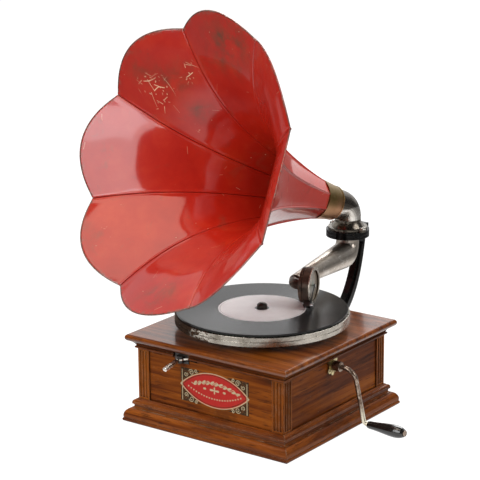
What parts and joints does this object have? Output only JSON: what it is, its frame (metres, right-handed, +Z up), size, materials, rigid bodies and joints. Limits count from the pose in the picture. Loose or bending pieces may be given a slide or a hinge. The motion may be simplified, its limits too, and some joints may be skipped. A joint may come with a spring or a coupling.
{
  "type": "horn gramophone",
  "caption": "Wind-up disc gramophone: square oak cabinet, turntable, rear bracket, swinging tone arm with sound box and a red flower horn.",
  "frame": {"origin": "centre of the flat underside of the base board, straight below the turntable spindle; the feet reach 3 mm below it", "axes": "+Z up along the spindle; -Y to the front with the brake lever; +Y to the horn bracket at the back; +X to the side with the crank"},
  "size_m": [0.531, 0.4531, 0.5989],
  "materials": {
    "oak": "varnished oak, satin",
    "oak_edge": "varnished oak moulding",
    "foot_wood": "bare wood",
    "black_iron": "black stoved enamel, gloss",
    "nickel": "worn nickel plate",
    "aged_nickel": "dull scratched nickel plate",
    "motor_steel": "oiled steel",
    "gear_brass": "cut brass",
    "old_brass": "aged brass",
    "red_enamel": "red enamel, worn gloss",
    "bronze_shell": "brown lacquered brass",
    "mica": "mica sheet",
    "shellac": "grooved shellac",
    "paper": "white paper, blank",
    "felt": "green felt",
    "black_wood": "black polished wood",
    "steel_needle": "polished steel"
  },
  "bodies": {
    "cabinet": {"lid_board": "oak", "bed_moulding": "oak_edge", "front_panel": "oak", "back_panel": "oak", "left_panel": "oak", "right_panel": "oak", "corner_posts": "oak", "plinth": "oak_edge", "base_board": "oak", "feet": "foot_wood", "motor_plate": "motor_steel", "motor_pillars": "motor_steel", "motor_lower_plate": "motor_steel", "crank_escutcheon": "old_brass", "crank_bush": "old_brass", "brake_bracket": "black_iron", "support_bracket": "black_iron", "bracket_screws": "motor_steel", "bracket_ring": "black_iron"},
    "turntable": {"platter": "nickel", "platter_mat": "felt", "record": "shellac", "record_label": "paper", "spindle": "nickel", "governor_wheel": "gear_brass"},
    "barrel": {"spring_barrel": "gear_brass", "great_wheel": "gear_brass", "mainspring": "motor_steel"},
    "arbor": {"barrel_arbor": "motor_steel", "winding_wheel": "gear_brass"},
    "governor": {"governor_shaft": "motor_steel", "governor_weights": "gear_brass"},
    "crank": {"crank_shaft": "motor_steel", "winding_pinion": "gear_brass", "crank_arm": "nickel"},
    "handle": {"crank_handle": "black_wood"},
    "brake": {"brake_lever": "nickel", "brake_knob": "nickel"},
    "tonearm": {"tonearm_tube": "aged_nickel", "tonearm_crook": "aged_nickel"},
    "soundbox": {"soundbox_back": "bronze_shell", "soundbox_shell": "bronze_shell", "diaphragm": "mica", "soundbox_ring": "nickel", "stylus_bar": "aged_nickel", "needle_screw": "steel_needle", "needle": "steel_needle"},
    "horn": {"elbow_flange": "nickel", "flange_screws": "nickel", "horn_elbow": "nickel", "horn_ferrule": "old_brass", "horn_petal_1": "red_enamel", "horn_petal_2": "red_enamel", "horn_petal_3": "red_enamel", "horn_petal_4": "red_enamel", "horn_petal_5": "red_enamel", "horn_petal_6": "red_enamel", "horn_petal_7": "red_enamel", "horn_petal_8": "red_enamel"}
  },
  "joints": [
    {"name": "turntable_spin", "type": "hinge", "parent": "cabinet", "child": "turntable", "pos_m": [0, 0, 0.12], "axis": [0, 0, 1], "continuous": true},
    {"name": "barrel_spin", "type": "hinge", "parent": "cabinet", "child": "barrel", "pos_m": [0.04999, -0.008, 0.06], "axis": [0, 0, 1], "continuous": true},
    {"name": "governor_spin", "type": "hinge", "parent": "cabinet", "child": "governor", "pos_m": [0, -0.06, 0.106], "axis": [0, 1, 0], "continuous": true},
    {"name": "crank_turn", "type": "hinge", "parent": "cabinet", "child": "crank", "pos_m": [0.12, -0.008, 0.1015], "axis": [1, 0, 0], "continuous": true},
    {"name": "arbor_wind", "type": "hinge", "parent": "cabinet", "child": "arbor", "pos_m": [0.04999, -0.008, 0.06], "axis": [0, 0, 1], "continuous": true},
    {"name": "handle_spin", "type": "hinge", "parent": "crank", "child": "handle", "pos_m": [0.195, 0.01919, 0.01256], "axis": [1, 0, 0], "continuous": true},
    {"name": "brake_swing", "type": "hinge", "parent": "cabinet", "child": "brake", "pos_m": [-0.048, -0.1325, 0.1105], "axis": [0, 0, 1], "range_deg": [0, 7]},
    {"name": "tonearm_swing", "type": "hinge", "parent": "cabinet", "child": "tonearm", "pos_m": [0, 0.2245, 0.2], "axis": [0, 0, 1], "range_deg": [-6, 24]},
    {"name": "soundbox_turn", "type": "hinge", "parent": "tonearm", "child": "soundbox", "pos_m": [0.0526, 0.05027, 0.1915], "axis": [0.9573, 0.289, 0], "range_deg": [-100, 0]},
    {"name": "horn_swivel", "type": "hinge", "parent": "cabinet", "child": "horn", "pos_m": [0, 0.2245, 0.24], "axis": [0, 0, 1], "continuous": true}
  ],
  "couplings": [
    {"joint": "barrel_spin", "follows": "turntable_spin", "ratio": -0.17391},
    {"joint": "governor_spin", "follows": "turntable_spin", "ratio": -6},
    {"joint": "arbor_wind", "follows": "crank_turn", "ratio": 0.33333}
  ]
}
